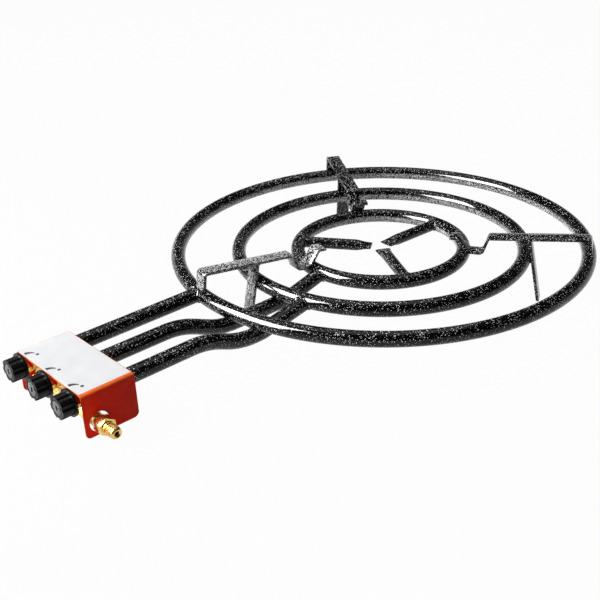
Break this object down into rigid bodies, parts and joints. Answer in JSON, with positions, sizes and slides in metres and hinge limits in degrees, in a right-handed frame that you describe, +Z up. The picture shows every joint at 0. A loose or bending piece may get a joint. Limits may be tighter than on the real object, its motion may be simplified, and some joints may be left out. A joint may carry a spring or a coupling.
{
  "type": "gas ring burner",
  "caption": "Wide gas burner of concentric black enamelled rings with flat-bar pan supports, feed pipes to an orange control bracket with push-and-turn taps, and a brass hose inlet.",
  "frame": {"origin": "on the floor under the middle of the rings", "axes": "+Z up; the control bracket lies towards -Y, its knobs face -Y, and the gas inlet points to +X"},
  "size_m": [0.6, 0.8574, 0.0996],
  "materials": {
    "enamel": "glossy black enamel with fine white speckles",
    "orange_coat": "glossy orange-red coat",
    "brass": "machined",
    "steel": "plain",
    "knob": "satin",
    "label": "smooth white with plain black wedge marks",
    "washer": "plain"
  },
  "bodies": {
    "burner": {"outer_ring": "enamel", "middle_ring": "enamel", "inner_ring": "enamel", "centre_tube_1": "enamel", "centre_tube_2": "enamel", "centre_tube_3": "enamel", "outer_feed_pipe": "enamel", "inner_feed_pipe": "enamel", "middle_feed_pipe": "enamel", "pan_support_1": "enamel", "pan_support_2": "enamel", "pan_support_3": "enamel", "support_leg_1": "enamel", "support_leg_2": "enamel", "support_leg_3": "enamel", "control_bracket": "orange_coat", "label": "label", "gas_rail": "brass", "rail_end_plug": "brass", "inlet_washer": "washer", "inlet_adapter": "brass", "inlet_nozzle": "brass", "tap_body_1": "brass", "tap_body_2": "brass", "tap_body_3": "brass", "bonnet_nuts": "brass", "injector_holder_1": "brass", "injector_holder_2": "brass", "injector_holder_3": "brass", "injector_1": "brass", "injector_2": "brass", "injector_3": "brass"},
    "plug_1": {"tap_plug_1": "brass", "tap_spring_1": "steel"},
    "plug_2": {"tap_plug_2": "brass", "tap_spring_2": "steel"},
    "plug_3": {"tap_plug_3": "brass", "tap_spring_3": "steel"},
    "knob_1": {"tap_spindle_1": "steel", "knob_1": "knob"},
    "knob_2": {"tap_spindle_2": "steel", "knob_2": "knob"},
    "knob_3": {"tap_spindle_3": "steel", "knob_3": "knob"}
  },
  "joints": [
    {"name": "tap_turn_1", "type": "hinge", "parent": "burner", "child": "plug_1", "pos_m": [-0.0535, -0.53, 0.065], "axis": [0, -1, 0], "range_deg": [0, 90]},
    {"name": "knob_push_1", "type": "slide", "parent": "plug_1", "child": "knob_1", "axis": [0, 1, 0], "range_m": [0, 0.0024], "stiffness_N_per_m": 1500, "springref_m": -0.0015, "deforming": ["tap_spring_1"]},
    {"name": "tap_turn_2", "type": "hinge", "parent": "burner", "child": "plug_2", "pos_m": [0, -0.53, 0.065], "axis": [0, -1, 0], "range_deg": [0, 90]},
    {"name": "knob_push_2", "type": "slide", "parent": "plug_2", "child": "knob_2", "axis": [0, 1, 0], "range_m": [0, 0.0024], "stiffness_N_per_m": 1500, "springref_m": -0.0015, "deforming": ["tap_spring_2"]},
    {"name": "tap_turn_3", "type": "hinge", "parent": "burner", "child": "plug_3", "pos_m": [0.0535, -0.53, 0.065], "axis": [0, -1, 0], "range_deg": [0, 90]},
    {"name": "knob_push_3", "type": "slide", "parent": "plug_3", "child": "knob_3", "axis": [0, 1, 0], "range_m": [0, 0.0024], "stiffness_N_per_m": 1500, "springref_m": -0.0015, "deforming": ["tap_spring_3"]}
  ]
}
